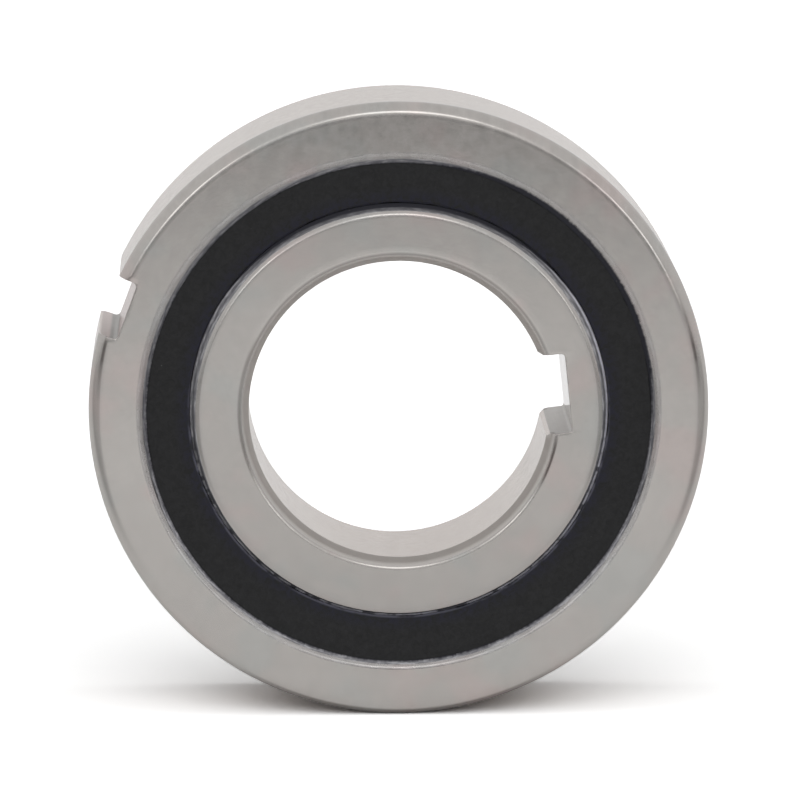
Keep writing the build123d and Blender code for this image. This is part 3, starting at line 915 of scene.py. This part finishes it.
@dataclass
class InnerRing(Ring):
    """The inner ring, with its bevelled shoulders, its races and the keyway."""

    node: str = "inner_ring"
    void: Void = Void.BORE
    slot_width: float = 8.0
    slot_floor: float = 17.0
    slot_corner: float = 0.35
    slot_angle: float = 6.0
    chamfer: float = 1.126
    bevel: float = 0.6
    land: float = 20.9
    track: float = 20.4
    groove_centre: float = 23.07
    groove: float = 3.09
    groove_y: float = -2.75
    track_front_y: float = 1.2
    track_back_y: float = 6.0
    bore: float = 15.0

    def section(self) -> Section:
        """The ring's section, from the rear bore round the rear face and the races to the front."""
        face = self.high.y / MM
        rear = [
            (self.bore, face - self.chamfer, 0.20, 0.0, 0.0), (15.65, face, 0.95, 0.0, 0.0),
            *flat_rows(face, 16.70, 16.94, 17.06, 17.20, 17.36, 17.50, 18.5, 19.45),
            (self.land - 0.78, face, 0.85, 0.0, 0.08, 0.20),
            (20.33, face - 0.155, 0.0, 0.0, 0.90, 0.14), (20.60, face - 0.32, 0.0, 0.0, 1.0, 0.05),
            (self.land, face - self.bevel, 0.06, 0.0, 1.0),
        ]
        races = [
            (self.land, self.track_back_y, 0.05, 0.6, 0.0),
            (self.track, self.track_back_y, 0.05, 0.8, 0.0),
            (self.track, self.track_front_y, 0.05, 0.8, 0.0),
            (self.land, self.track_front_y, 0.05, 0.6, 0.0),
            *race_corners(self.land, self.groove_centre, self.groove, self.groove_y),
        ]
        bore_wall = [(self.bore, y, 0.0, 1.0, 0.0) for y in reversed(WALL_ROWS)]
        return Section.eased([*rear, *races, *mirrored(rear), *bore_wall])


def ragged(angle: np.ndarray, seed: int, lowest: int, highest: int) -> np.ndarray:
    """An uneven edge that closes on itself: the sum of cosines of whole numbers of waves.

    Args:
        angle: the angle of each column.
        seed: picks the edge.
        lowest: the fewest waves round the ring.
        highest: the most waves round the ring.

    Returns:
        Heights about 0, with a standard deviation of 1.
    """
    draw = np.random.default_rng(seed)
    waves = np.arange(lowest, highest + 1)
    phase = draw.uniform(0.0, 2 * math.pi, len(waves))
    height = draw.normal(0.0, 1.0, len(waves)) / np.sqrt(waves)
    edge = (height[:, None] * np.cos(waves[:, None] * angle[None, :] + phase[:, None])).sum(0)
    return edge / edge.std()


@dataclass
class Seal:
    """One rubber seal, with its trimmed outer edge and its lip, over its steel core."""

    side: Side
    columns: int = 900
    face_y: float = 7.45
    seat_y: float = 6.3
    rim: float = 26.15
    rim_y: float = 7.15
    neck: float = 25.12
    drop: float = 0.30
    lip: float = 20.91
    lip_root: float = 21.61
    core_inner: float = 21.91
    core_outer: float = 25.55
    core_y: float = 6.7

    def body(self) -> np.ndarray:
        """The rubber's grid: its section turned round the axis, with two uneven edges.

        Every row of the section has a radius and a Y.  The rows of the outer edge also move by the
        ragged edge times how near they are to the face's corner, and the rows of the lip likewise.

        Returns:
            Rows x columns x 3 points in millimetres.
        """
        lip_y = self.face_y - 0.06
        rows = Section.eased([
            (self.rim, self.seat_y, 0.06, 0, 0), (self.rim, self.rim_y, 0.08, 0, 0),
            (self.neck, self.rim_y, 0.03, 0, 0, self.drop),
            (self.neck + 0.10, self.face_y - 0.10, 0.0, 1, 0, self.drop),
            (self.neck + 0.09, self.face_y + 0.02, 0.05, 1, 0, self.drop),
            (24.9, self.face_y, 0.3, 0, 0, self.drop), *flat_rows(self.face_y, 24.0, 23.0, 22.0),
            (21.15, self.face_y, 0.15, 0, 0.4), (self.lip, lip_y, 0.05, 0, 1),
            (self.lip, lip_y - 0.35, 0.05, 0, 0.6), (self.lip_root, self.seat_y, 0.03, 0, 0),
            *flat_rows(self.seat_y, self.core_inner),
            *flat_rows(self.core_y, self.core_inner, self.core_outer),
            *flat_rows(self.seat_y, self.core_outer),
        ], steps=7)
        angle = np.linspace(0.0, 2 * math.pi, self.columns, endpoint=False)
        seed = 40 + self.side.value
        coarse, fine = ragged(angle, seed, 5, 40), ragged(angle, seed + 10, 50, 200)
        trim = np.clip(0.020 * coarse + 0.020 * fine, -0.05, 0.05)
        flash = np.clip(0.025 * ragged(angle, seed + 20, 8, 90) + 0.01, 0.0, 0.07)
        radius = rows.radius[:, None] + rows.ground[:, None] * trim + rows.bevel[:, None] * flash
        sag = 0.012 * ragged(angle, seed + 30, 2, 14) * (rows.y > self.face_y - 0.01)[:, None]
        y = self.side.value * (rows.y[:, None] + sag)
        z = radius * np.sin(angle) - rows.drop[:, None]
        return np.stack([radius * np.cos(angle), y, z], axis=-1)

    def build(self) -> bpy.types.Object:
        """Makes, dresses and mounts the rubber, and dresses its core."""
        end = self.side.name.lower()
        CORE_PLATE.dress(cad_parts[f"{end}_seal_core"])
        piece = grid_piece(f"{end}_seal_rubber", self.body())
        return mount(piece, "outer_ring", SEAL_RUBBER, f"{end}_seal")


@dataclass
class Row:
    """A row of numbered pieces and their cage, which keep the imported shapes."""

    kind: str
    count: int
    finish: Finish
    resin: Finish

    def build(self) -> None:
        """Dresses the pieces and the cage."""
        self.resin.dress(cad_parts[f"{self.kind}_cage"])
        for number in range(1, self.count + 1):
            self.finish.dress(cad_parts[f"{self.kind}_{number:02d}"])
        log.info("%s row: %d pieces and their cage", self.kind, self.count)


@dataclass
class EnergizingSpring:
    """The coiled spring round the sprags."""

    radius: float = 24.75
    coil: float = 0.5
    wire: float = 0.075
    turns: int = 620
    steps_round_turn: int = 8
    sides: int = 5
    y: float = 3.6

    def points(self) -> np.ndarray:
        """The spring's grid: a wire wound round a circle, closed on itself.

        The wire's middle is at radius R + c * cos(n * t) and Y s + c * sin(n * t), where t turns once
        round the axis, n is the number of turns and c the coil's radius less the wire's.  The wire's
        section is a small circle across that curve.

        Returns:
            Rows round the wire x columns along it x 3 points in millimetres.
        """
        t = np.linspace(0.0, 2 * math.pi, self.turns * self.steps_round_turn, endpoint=False)
        wind, reach = self.turns * t, self.coil - self.wire
        radius = self.radius + reach * np.cos(wind)
        along_y = self.y + reach * np.sin(wind)
        middle = np.stack([radius * np.cos(t), along_y, radius * np.sin(t)], axis=-1)
        run = np.roll(middle, -1, axis=0) - np.roll(middle, 1, axis=0)
        run /= np.linalg.norm(run, axis=1)[:, None]
        outward = np.stack([np.cos(wind) * np.cos(t), np.sin(wind), np.cos(wind) * np.sin(t)], axis=-1)
        outward -= (outward * run).sum(1)[:, None] * run
        outward /= np.linalg.norm(outward, axis=1)[:, None]
        across = np.cross(run, outward)
        turn = np.linspace(0.0, 2 * math.pi, self.sides, endpoint=False)[:, None, None]
        return middle + self.wire * (np.cos(turn) * outward + np.sin(turn) * across)

    def build(self) -> bpy.types.Object:
        """Makes, dresses and mounts the spring."""
        piece = grid_piece("energizing_spring_coil", self.points())
        return mount(piece, "sprag_cage", SPRING_WIRE, "energizing_spring")


def mount(piece: bpy.types.Object, body: str, finish: Finish,
          node: str) -> bpy.types.Object:
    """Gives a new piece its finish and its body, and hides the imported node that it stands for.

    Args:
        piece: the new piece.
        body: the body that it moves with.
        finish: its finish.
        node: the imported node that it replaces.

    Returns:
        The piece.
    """
    finish.dress(piece)
    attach(piece, body)
    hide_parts(node)
    log.info("%s: %d faces, rides on %s", piece.name, len(piece.data.polygons), body)
    return piece


# ---- Studio ----


def bearing(turn: float, rise: float) -> Vector:
    """The direction at a turn from straight ahead towards +X and a rise, both in degrees."""
    turn, rise = math.radians(turn), math.radians(rise)
    return Vector((math.sin(turn) * math.cos(rise), -math.cos(turn) * math.cos(rise), math.sin(rise)))


def aimed(data: bpy.types.ID, back: Vector, distance: float) -> bpy.types.Object:
    """A new camera or lamp at a distance from the bearing along back, looking at the bearing."""
    made = placed(data.name, data)
    made.location = back * distance
    made.rotation_euler = back.to_track_quat("Z", "Y").to_euler()
    return made


@dataclass(frozen=True)
class Softbox:
    """A rectangular lamp.

    turn and rise are its direction from the bearing in degrees, size its width and height as angles
    in degrees seen from there, and radiance its brightness, where 1 is plain white.
    """

    name: str
    turn: float
    rise: float
    size: tuple[float, float]
    radiance: float


@dataclass
class Studio:
    """The pale floor, the soft light and the camera."""

    azimuth: float = -1.60
    elevation: float = 9.60
    distance: float = 0.6200
    lens: float = 276.10
    shift: tuple[float, float] = (0.00379, -0.00247)
    floor_x: tuple[float, float] = (-4.0, 4.0)
    floor_y: tuple[float, float] = (-3.0, 6.0)
    lamp_distance: float = 0.9
    lamps: tuple[Softbox, ...] = (
        Softbox("key_softbox", 2.5, 22.0, (14.0, 14.0), 2.1),
        Softbox("right_softbox", 19.0, 4.0, (8.0, 8.0), 2.6),
        Softbox("left_softbox", -18.0, 10.0, (8.0, 8.0), 3.2),
    )

    def _camera(self) -> None:
        """A long lens a little above the axis."""
        lens = bpy.data.cameras.new("studio_camera")
        lens.lens, lens.sensor_width = self.lens, 36.0
        lens.shift_x, lens.shift_y = self.shift
        lens.clip_start, lens.clip_end = 0.05, 50.0
        camera = aimed(lens, bearing(self.azimuth, self.elevation), self.distance)
        bpy.context.scene.camera = camera

    def _floor(self) -> None:
        """A level sheet under the bearing, white to the camera, that keeps the bearing's shadow."""
        corners = [(x, y, CAD_BOX[0].z) for x in self.floor_x for y in self.floor_y]
        mesh = bpy.data.meshes.new("floor")
        mesh.from_pydata(corners, [], [(0, 2, 3, 1)])
        mesh.update()
        floor = placed("floor", mesh)
        FLOOR_SHEET.dress(floor)

    @staticmethod
    def _paint_world(nodes: Nodes) -> None:
        """White to the camera, a pale room to metal, and otherwise soft light.

        The soft light comes mostly from a tall panel ahead of the bearing and a wide one over it, so
        the shadow falls under the bearing and behind it.  Ahead is 1 straight ahead, 0 overhead.
        """
        camera = nodes.add("ShaderNodeLightPath", out="Is Camera Ray")
        metal = camera.out("Is Glossy Ray")
        x, y, z = nodes.split(nodes.add("ShaderNodeTexCoord", out="Generated"))
        low_ahead = (0.0 - y).step(0.2, 0.9) * z.size().step(0.26, 0.12)
        room = 0.95 - low_ahead * 0.10
        ahead, across = (0.0 - y) / (y * y + z * z).root(), x.size()
        front = ahead.step(0.40, 0.62) * ahead.step(0.99, 0.90) * across.step(0.66, 0.44)
        over = ahead.step(-0.38, -0.14) * ahead.step(0.55, 0.38) * across.step(0.87, 0.73)
        soft = 0.12 + front * 1.85 + over * 1.05 + ahead.step(-0.74, -0.95) * 0.30
        seen = camera + (1.0 - camera) * (metal * room + (1.0 - metal) * soft)
        grey = nodes.join(seen, seen, seen)
        glow = nodes.add("ShaderNodeBackground", None, {"Color": grey, "Strength": 1.0})
        nodes.add("ShaderNodeOutputWorld", None, {"Surface": glow})

    def _lamp(self, box: Softbox) -> None:
        """Sets up a softbox, unseen by the camera and of an even radiance."""
        reach = self.lamp_distance
        width, height = (2 * reach * math.tan(math.radians(angle) / 2) for angle in box.size)
        light = bpy.data.lights.new(box.name, "AREA")
        light.shape, light.size, light.size_y = "RECTANGLE", width, height
        light.energy = box.radiance * math.pi * width * height
        aimed(light, bearing(box.turn, box.rise), reach).visible_camera = False

    def build(self) -> None:
        """Sets up the whole studio."""
        self._camera()
        self._floor()
        world = bpy.data.worlds.new("studio_room")
        world.use_nodes = True
        self._paint_world(Nodes(world.node_tree))
        bpy.context.scene.world = world
        for box in self.lamps:
            self._lamp(box)
        bpy.context.scene.view_settings.view_transform = "Standard"
        log.info("studio: camera, floor, room and softboxes")


def main() -> None:
    """Builds the sub-assemblies in order, then the studio."""
    logging.basicConfig(level=logging.INFO, format="%(name)s: %(message)s")
    OuterRing().build()
    InnerRing().build()
    for side in Side:
        Seal(side).build()
    Row("ball", 13, BALL_STEEL, BALL_CAGE_RESIN).build()
    Row("sprag", 18, SPRAG_STEEL, SPRAG_CAGE_RESIN).build()
    EnergizingSpring().build()
    Studio().build()


if __name__ == "__main__":
    main()
